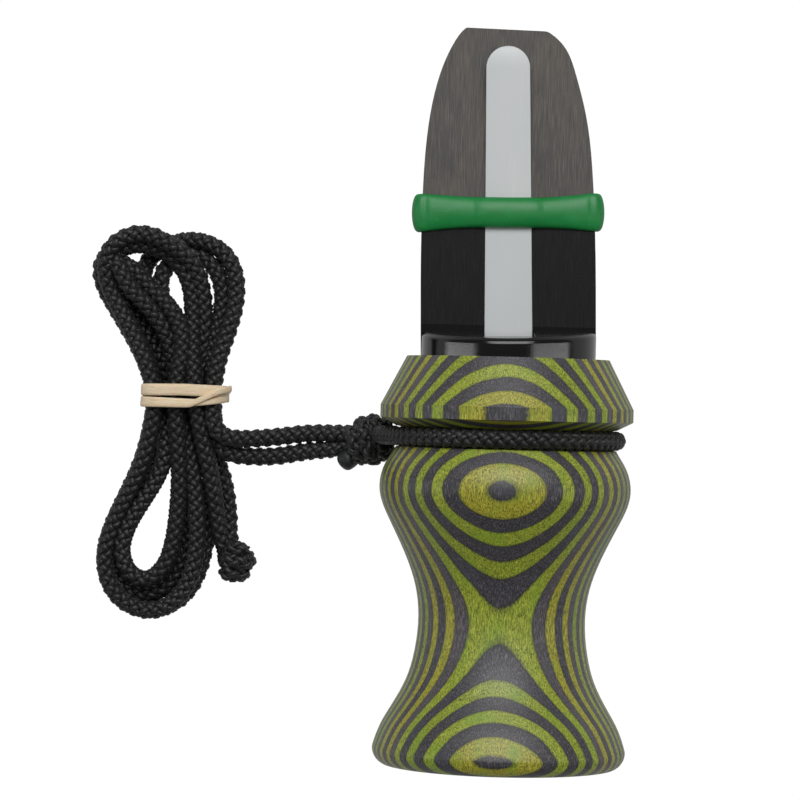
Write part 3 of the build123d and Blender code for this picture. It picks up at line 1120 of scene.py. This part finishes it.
@dataclass
class Lanyard:
    """One length of braided cord: a loop in the barrel's groove, two legs and their hank."""

    braid: Braid = Braid()
    axis_height: float = 19.05 * MM
    groove_y: float = -6.35 * MM
    ring_radius: float = 16.6 * MM
    ring_step: float = math.radians(12)
    ring_outset: float = 0.75
    knot_point: tuple = (-20.3 * MM, -7.2 * MM, 10.0 * MM)
    loop_end_gap: float = 3.0 * MM
    end_knot_point: tuple = (-40.9 * MM, -26.6 * MM, 3.1 * MM)
    bead_radius: float = 1.65 * MM
    bead_half_length: float = 1.5 * MM
    bead_fullness: float = 0.8
    bead_cap: float = 0.03
    bead_rings: int = 15
    bead_sides: int = 22
    points_a_turn: int = 14
    knot_swell: float = 0.12
    taper_rate: float = 9.0
    taper_end: float = 0.45
    # Routes in millimetres: each leg runs from the knot to the hank, then folds back and forth
    upper_leg: tuple = (
        (-23.2, -6.4, 8.6), (-26.6, -6.4, 7.4), (-30.6, -6.5, 6.6), (-35.6, -7.3, 6.6),
        (-42.4, -7.8, 7.2), (-44.5, -6.3, 7.5), (-45.1, -3.0, 7.3), (-44.9, 1.0, 7.2),
        (-44.2, 5.1, 6.6), (-42.9, 9.1, 5.6), (-41.9, 13.2, 4.8), (-41.9, 17.4, 4.0),
        (-43.6, 21.0, 3.4), (-46.8, 22.8, 2.6), (-50.1, 23.1, 1.6), (-53.4, 22.0, 1.5),
        (-55.8, 20.1, 1.5), (-56.8, 17.3, 1.6), (-56.0, 13.9, 1.6), (-53.8, 10.2, 1.6),
        (-51.2, 6.2, 1.6), (-49.0, 2.2, 1.6), (-48.1, -1.8, 1.6), (-47.9, -8.0, 1.6),
        (-47.9, -14.3, 1.6), (-48.4, -20.5, 1.6), (-49.2, -26.0, 1.6), (-50.9, -30.4, 1.6),
        (-54.3, -32.5, 1.6), (-57.9, -31.8, 1.6), (-60.1, -28.9, 1.6), (-60.3, -24.7, 1.6),
        (-58.7, -20.0, 1.6), (-56.1, -15.4, 1.6), (-53.6, -10.5, 1.6), (-51.6, -5.0, 1.6),
        (-51.4, -0.7, 1.6), (-52.9, 4.0, 1.6), (-55.7, 8.3, 1.6), (-58.4, 12.3, 1.6),
        (-60.6, 15.8, 2.0), (-61.4, 18.3, 3.2), (-59.9, 19.3, 4.6), (-57.8, 18.1, 5.2),
        (-55.2, 15.3, 5.4), (-52.4, 12.9, 5.6), (-50.3, 9.9, 6.2), (-49.7, 5.9, 6.8),
        (-50.6, 1.5, 7.2), (-50.8, -2.7, 7.2), (-50.3, -8.1, 6.0), (-49.9, -13.5, 4.8),
        (-50.1, -18.9, 4.4), (-50.6, -23.6, 4.4), (-51.7, -27.6, 4.4), (-54.5, -30.2, 4.4),
        (-57.6, -28.9, 4.4), (-58.9, -25.3, 4.4), (-57.8, -21.4, 4.4), (-55.7, -17.8, 4.4),
        (-53.6, -14.4, 4.4), (-52.2, -10.9, 4.4), (-52.3, -6.6, 4.4), (-53.6, -2.0, 4.4),
        (-54.7, 2.4, 4.4), (-56.5, 6.5, 4.4), (-58.6, 10.3, 4.4), (-60.6, 14.1, 4.4),
        (-61.6, 18.0, 4.6), (-60.5, 21.1, 5.0), (-57.5, 22.2, 5.0), (-54.2, 21.6, 4.6),
        (-51.1, 19.8, 4.6), (-49.0, 16.3, 4.6), (-48.5, 11.8, 4.8), (-48.5, 6.7, 6.0),
        (-48.0, 2.0, 7.2), (-47.6, -2.6, 7.2), (-46.4, -8.0, 6.2), (-44.9, -14.1, 4.6),
        (-44.1, -19.6, 3.6), (-43.4, -23.4, 3.2), (-42.2, -25.9, 3.1),
    )
    lower_leg: tuple = (
        (-23.0, -8.4, 8.2), (-26.4, -8.8, 6.9), (-30.6, -9.3, 5.6), (-35.8, -10.4, 5.2),
        (-42.4, -10.2, 5.6), (-44.0, -8.6, 5.4), (-44.9, -5.5, 4.6), (-45.1, -1.1, 4.4),
        (-45.7, 3.2, 4.3), (-45.4, 7.6, 4.0), (-44.1, 11.8, 3.4), (-44.1, 16.2, 3.0),
        (-45.9, 19.7, 2.6), (-49.1, 21.0, 1.6), (-52.1, 19.9, 1.6), (-53.7, 17.6, 3.4),
        (-53.8, 14.5, 3.6), (-52.2, 10.8, 2.6), (-49.5, 6.7, 1.6), (-46.6, 2.9, 1.6),
        (-45.3, -1.4, 1.6), (-45.3, -8.0, 1.6), (-45.4, -14.2, 1.6), (-45.6, -20.4, 1.6),
        (-46.0, -26.1, 1.6), (-47.8, -31.1, 1.6), (-51.0, -34.0, 1.6), (-54.7, -34.7, 1.6),
        (-58.6, -33.2, 1.6), (-61.1, -29.9, 1.6), (-61.6, -25.5, 1.6), (-60.3, -21.1, 1.6),
        (-58.1, -16.4, 1.6), (-56.1, -11.7, 1.6), (-54.8, -6.7, 1.6), (-54.2, -1.3, 1.6),
        (-55.5, 3.3, 1.6), (-57.8, 7.6, 1.6), (-60.3, 11.6, 1.6), (-62.4, 14.9, 1.8),
        (-63.3, 18.0, 3.0), (-62.3, 20.5, 4.2), (-59.9, 18.6, 6.4), (-58.6, 15.5, 6.4),
        (-55.7, 12.8, 6.2), (-53.2, 9.8, 5.6), (-51.6, 5.8, 4.8), (-50.8, 1.2, 4.5),
        (-50.5, -3.1, 4.5), (-49.1, -8.0, 4.4), (-47.7, -14.2, 4.4), (-47.0, -20.4, 4.4),
        (-47.0, -26.0, 4.4), (-48.4, -31.0, 4.4), (-51.3, -34.0, 4.4), (-54.6, -34.8, 4.4),
        (-58.4, -33.4, 4.4), (-60.8, -30.2, 4.4), (-61.4, -25.9, 4.4), (-60.1, -21.3, 4.4),
        (-58.0, -16.8, 4.8), (-55.9, -12.4, 5.6), (-54.6, -7.5, 6.6), (-53.7, -2.0, 7.2),
        (-55.0, 2.9, 7.2), (-57.0, 7.2, 6.6), (-59.5, 11.5, 5.6), (-61.6, 15.2, 5.0),
        (-62.5, 18.9, 5.4), (-61.2, 21.9, 6.2), (-58.0, 23.7, 6.6), (-54.8, 23.5, 6.6),
        (-51.6, 21.7, 6.4), (-48.5, 19.4, 5.6), (-47.0, 15.2, 4.6), (-46.7, 10.0, 4.4),
        (-47.2, 5.2, 4.4), (-47.7, 1.0, 4.4), (-47.6, -3.0, 4.2), (-45.8, -8.0, 3.0),
        (-43.2, -13.8, 1.8), (-42.3, -19.1, 1.7), (-42.2, -23.1, 2.4), (-41.6, -25.4, 3.0),
    )
    tail: tuple = ((-20.6, -8.0, 10.4), (-21.9, -8.9, 9.8), (-23.9, -10.3, 8.9))

    def ring_route(self) -> list[tuple[float, float, float]]:
        """Control points of the loop: straight from the knot, round the groove and back.

        Returns:
            The points, in metres.
        """
        knot_x, _, knot_z = self.knot_point
        reach = math.hypot(knot_x, knot_z - self.axis_height)
        towards = math.atan2(knot_z - self.axis_height, knot_x)
        free = math.acos(self.ring_radius / reach)
        start, sweep = towards + free, 2 * math.pi - 2 * free
        count = round(sweep / self.ring_step)
        # Control points stand a little outside the arc that the curve draws between them
        outside = self.ring_radius / math.cos(sweep / count / 2) ** self.ring_outset
        ring = []
        for i in range(count + 1):
            angle = start + sweep * i / count
            ring.append((outside * math.cos(angle), self.axis_height + outside * math.sin(angle)))
        share = self.loop_end_gap / (reach * math.sin(free))
        ends = []
        for x, z in (ring[0], ring[-1]):
            ends.append((knot_x + (x - knot_x) * share, knot_z + (z - knot_z) * share))
        flat = [ends[0], *ring, ends[1]]
        return [(x, self.groove_y, z) for x, z in flat]

    def wrap(
        self, centre: tuple, axis: tuple, radius: float, turns: float, rise: float
    ) -> list[tuple[float, float, float]]:
        """Control points of close turns round an axis.

        Args:
            centre: the middle of the turns.
            axis: the direction that they go round.
            radius: from the axis to the cord's middle.
            turns: how many.
            rise: how far apart they lie along the axis.

        Returns:
            The points, in metres.
        """
        ahead = Vector(axis).normalized()
        level = Vector((0, 0, 1)).cross(ahead).normalized()
        upright = ahead.cross(level)
        count = round(self.points_a_turn * turns)
        points = []
        for i in range(count + 1):
            angle = 2 * math.pi * turns * i / count
            slide = rise * turns * (i / count - 0.5)
            swell = radius * (1 - self.knot_swell * math.cos(2 * math.pi * i / count))
            point = Vector(centre) + ahead * slide
            point += (level * math.cos(angle) + upright * math.sin(angle)) * swell
            points.append(tuple(point))
        return points

    def cord_piece(
        self, name: str, route: list, finish: Material, taper: bool = False
    ) -> tuple[Piece, np.ndarray]:
        """Plait a piece of the lanyard along a route.

        Args:
            name: the piece's name.
            route: control points of its middle line, in metres.
            finish: its material.
            taper: whether both ends draw in.

        Returns:
            The piece and the points of its middle line.
        """
        path = spline_points(name, route, self.braid.spacing)
        squeeze = None
        if taper:
            place = np.linspace(0, 1, len(path))
            nearer_end = np.minimum(place, 1 - place)
            squeeze = np.clip(nearer_end * self.taper_rate + self.taper_end, 0, 1)
        points, faces, corners = self.braid.mesh(path, squeeze)
        piece = new_mesh_piece(name, points, faces, finish, corners)
        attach(piece, Body.BARREL.value)
        return piece, path

    def melted_end(self, finish: Material) -> Piece:
        """Make the melted bead at the tail's end.

        Args:
            finish: its material.

        Returns:
            The bead.
        """
        centre = Vector(self.tail[-1]) * MM
        ahead = (centre - Vector(self.tail[-2]) * MM).normalized()
        side = ahead.orthogonal().normalized()
        across = ahead.cross(side)
        rings, sides = self.bead_rings, self.bead_sides
        first, last = self.bead_cap * math.pi, (1 - self.bead_cap) * math.pi
        rows = []
        for turn in np.linspace(first, last, rings):
            wide = self.bead_radius * math.sin(turn) ** self.bead_fullness
            slide = -self.bead_half_length * math.cos(turn)
            for j in range(sides):
                angle = 2 * math.pi * j / sides
                # Three shallow lumps that wind round it, and a slightly oval section
                lump = 1 + 0.06 * math.sin(3 * angle + 2 * turn) + 0.04 * math.cos(2 * angle)
                spoke = (side * math.cos(angle) + across * math.sin(angle)) * wide * lump
                rows.append(tuple(centre + ahead * slide + spoke))
        faces = [list(f) for f in ring_faces(rings, sides)]
        faces += cap_faces(0, sides, True) + cap_faces((rings - 1) * sides, sides, False)
        piece = new_mesh_piece("lanyard_tail_melted_end", np.array(rows), np.array(faces), finish)
        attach(piece, Body.BARREL.value)
        return piece

    def build(self) -> list[Piece]:
        """Make the whole lanyard.

        Returns:
            Its pieces.
        """
        nylon = BraidedNylon().build()
        loop, loop_path = self.cord_piece("groove_loop_braid", self.ring_route(), nylon)
        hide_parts("lanyard_loop")

        knot_x, knot_y, knot_z = self.knot_point
        turns_middle = (knot_x - 0.1 * MM, knot_y, knot_z)
        wraps = self.wrap(turns_middle, (1, 0.22, 0.12), 2.45 * MM, 3.1, 1.75 * MM)
        knot, _ = self.cord_piece("lanyard_knot_braid", wraps, nylon, taper=True)
        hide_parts("lanyard_knot")
        tail, _ = self.cord_piece("lanyard_tail_braid", metres(self.tail), nylon)
        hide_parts("lanyard_tail")
        bead = self.melted_end(MeltedNylon().build())

        end_wraps = self.wrap(self.end_knot_point, (0.35, 1, 0.1), 1.55 * MM, 2.4, 2.0 * MM)
        end_knot, _ = self.cord_piece("lanyard_end_knot_braid", end_wraps, nylon, taper=True)
        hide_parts("lanyard_end_knot")

        upper, upper_path = self.cord_piece("lanyard_upper_leg_braid", metres(self.upper_leg), nylon)
        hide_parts("lanyard_leg_upper", "lanyard_hank")
        lower, lower_path = self.cord_piece("lanyard_lower_leg_braid", metres(self.lower_leg), nylon)
        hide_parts("lanyard_leg_lower")

        return [loop, knot, tail, bead, end_knot, upper, lower]


@dataclass(frozen=True)
class TieTurn:
    """One turn of the tie: where it wanders along the hank, where it lifts, and its width.

    Both lists hold (share of the way round, millimetres) pairs.
    """

    shifts: tuple
    half_width: float
    lifts: tuple = ((0, 0.0), (1, 0.0))


@dataclass
class HankTie:
    """A flat office rubber band, wound three times round the hank's neck and crossed once."""

    centre: tuple = (-49.4 * MM, -1.2 * MM)
    half_width: float = 6.5 * MM
    bottom: float = 0.35 * MM
    top: float = 9.3 * MM
    corner: float = 3.0 * MM
    corner_steps: int = 12
    half_thickness: float = 0.28 * MM
    squareness: float = 0.55
    steps: int = 150
    sides: int = 10
    turns: tuple = (
        TieTurn(((0, 0.6), (0.3, 0.75), (0.5, 0.95), (0.7, 0.8), (1, 0.6)), 0.92 * MM),
        TieTurn(((0, -0.4), (0.3, -0.3), (0.45, -1.0), (0.7, -0.75), (1, -0.4)), 0.55 * MM),
        TieTurn(
            ((0, 0.2), (0.28, 1.3), (0.36, 0.9), (0.47, -1.3), (0.7, -1.35), (1, 0.2)), 0.5 * MM,
            ((0, 0.0), (0.2, 0.15), (0.3, 0.55), (0.4, 0.5), (0.5, 0.1), (1, 0.0)),
        ),
    )

    def outline(self) -> np.ndarray:
        """Closed rounded rectangle round the hank, from the middle of its underside.

        Returns:
            (across, up) pairs, in metres.
        """
        inner = self.half_width - self.corner
        low, high = self.bottom + self.corner, self.top - self.corner
        line = [(0.0, self.bottom)]
        corners = (inner, low, -90), (inner, high, 0), (-inner, high, 90), (-inner, low, 180)
        for cx, cz, first in corners:
            for step in range(self.corner_steps + 1):
                angle = math.radians(first + 90 * step / self.corner_steps)
                line.append((cx + self.corner * math.cos(angle), cz + self.corner * math.sin(angle)))
        line.append((0.0, self.bottom))
        return evenly(np.array(line), self.steps)[0]

    def strand(self, turn: TieTurn) -> np.ndarray:
        """Rings of vertices of one turn of the band.

        Args:
            turn: how it lies.

        Returns:
            The vertices.
        """
        line = self.outline()
        share = np.arange(self.steps) / self.steps
        shift = np.interp(share, *zip(*turn.shifts)) * MM
        lift = np.interp(share, *zip(*turn.lifts)) * MM
        for _ in range(4):
            shift = (np.roll(shift, 1) + shift + np.roll(shift, -1)) / 3
            lift = (np.roll(lift, 1) + lift + np.roll(lift, -1)) / 3
        tangent = closed_tangents(line)
        outward = np.stack([tangent[:, 1], -tangent[:, 0]], 1)
        line = line + outward * lift[:, None]
        angles = np.linspace(0, 2 * math.pi, self.sides, endpoint=False)
        across, out = (
            np.sign(wave) * np.abs(wave) ** self.squareness * half
            for wave, half in (
                (np.cos(angles), turn.half_width), (np.sin(angles), self.half_thickness),
            )
        )
        points = []
        for i in range(self.steps):
            x = self.centre[0] + line[i, 0] + outward[i, 0] * out
            z = line[i, 1] + outward[i, 1] * out
            points.append(np.stack([x, self.centre[1] + shift[i] + across, z], 1))
        return np.concatenate(points)

    def build(self) -> Piece:
        """Make the tie.

        Returns:
            The tie.
        """
        strip = ring_faces(self.steps, self.sides, closed=True)
        points = [self.strand(turn) for turn in self.turns]
        faces = [strip + i * len(points[0]) for i in range(len(points))]
        tie = new_mesh_piece(
            "hank_rubber_band", np.concatenate(points), np.concatenate(faces), TanLatex().build()
        )
        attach(tie, Body.BARREL.value)
        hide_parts("hank_tie")
        return tie


@dataclass(frozen=True)
class SoftLight:
    """A rectangular light: its tilt from overhead towards +X and +Y, width, length and power."""

    name: str
    tilt: tuple
    distance: float
    size: tuple
    power: float

    def build(self) -> None:
        """Add the light, facing the object."""
        data = bpy.data.lights.new(self.name, "AREA")
        data.shape = "RECTANGLE"
        data.size, data.size_y = self.size
        data.energy = self.power
        lamp = bpy.data.objects.new(self.name, data)
        bpy.context.scene.collection.objects.link(lamp)
        right, ahead = map(math.radians, self.tilt)
        place = Vector((math.sin(right), math.sin(ahead), math.cos(right) * math.cos(ahead)))
        lamp.location = place.normalized() * self.distance
        lamp.rotation_euler = place.to_track_quat("Z", "Y").to_euler()


@dataclass
class Studio:
    """A white table that glows evenly, three soft lights and the camera straight above."""

    lens: float = 155.3
    sensor: float = 36.0
    camera_place: tuple = (-0.01615, -0.00099, 0.539)
    camera_turn: float = math.radians(1.48)
    table_side: float = 3.0
    table_drop: float = -0.2 * MM
    table_glow: float = 1.02
    table_bounce: float = 0.5
    sky: float = 0.16
    lights: tuple = (
        SoftLight("key_softbox", (0.0, 32.0), 1.1, (1.0, 0.62), 9.0),
        SoftLight("left_strip", (-72.0, 0.0), 0.9, (0.07, 0.9), 0.8),
        SoftLight("right_strip", (56.0, 0.0), 0.9, (0.07, 0.9), 0.75),
    )

    def build(self) -> None:
        """Make the table, the sky, the lights and the camera."""
        self.table()
        self.backdrop()
        for light in self.lights:
            light.build()
        self.camera()

    def table(self) -> None:
        """Make the white table, whose glow lights the object less than it shows."""
        half, low = self.table_side / 2, self.table_drop
        corners = ((-half, -half), (half, -half), (half, half), (-half, half))
        points = np.array([(*corner, low) for corner in corners])
        material, tree = new_material("white_light_table")
        seen = add_node(tree, "LightPath").outputs["Is Camera Ray"]
        extra = self.table_glow - self.table_bounce
        strength = math_node(tree, "MULTIPLY_ADD", seen, extra, self.table_bounce)
        glow = add_node(tree, "Emission", {"Color": linear("#FFFFFF"), "Strength": strength})
        add_node(tree, "OutputMaterial", {"Surface": glow.outputs[0]})
        table = new_mesh_piece("light_table", points, np.array([(0, 1, 2, 3)]), material)

    def backdrop(self) -> None:
        """Make the grey surround."""
        world = bpy.data.worlds.new("studio")
        world.use_nodes = True
        world.node_tree.nodes.clear()
        tree = world.node_tree
        back = add_node(tree, "Background", {"Color": linear("#FFFFFF"), "Strength": self.sky})
        add_node(tree, "OutputWorld", {"Surface": back.outputs[0]})
        bpy.context.scene.world = world
        bpy.context.scene.view_settings.view_transform = "Standard"

    def camera(self) -> None:
        """Add the camera, looking straight down."""
        data = bpy.data.cameras.new("camera")
        data.lens = self.lens
        data.sensor_width = self.sensor
        camera = bpy.data.objects.new("camera", data)
        bpy.context.scene.collection.objects.link(camera)
        camera.matrix_world = (
            Matrix.Translation(self.camera_place) @ Matrix.Rotation(self.camera_turn, 4, "Z")
        )
        bpy.context.scene.camera = camera


def main() -> None:
    """Build every sub-assembly in order."""
    logging.basicConfig(level=logging.INFO, format="%(name)s %(message)s")
    Studio().build()
    LOG.info("studio ready")
    lanyard = Lanyard().build()
    LOG.info("lanyard: %d pieces", len(lanyard))
    tie = HankTie().build()
    LOG.info("%s: %d faces", tie.name, len(tie.data.polygons))
    Barrel().dress()
    Mouthpiece().dress()
    LOG.info("barrel and mouthpiece dressed")
    board = Board()
    Reed().build(board)
    LOG.info("reed ready")
    band = ReedBand().build(board)
    LOG.info("%s: %d faces", band.name, len(band.data.polygons))


if __name__ == "__main__":
    main()
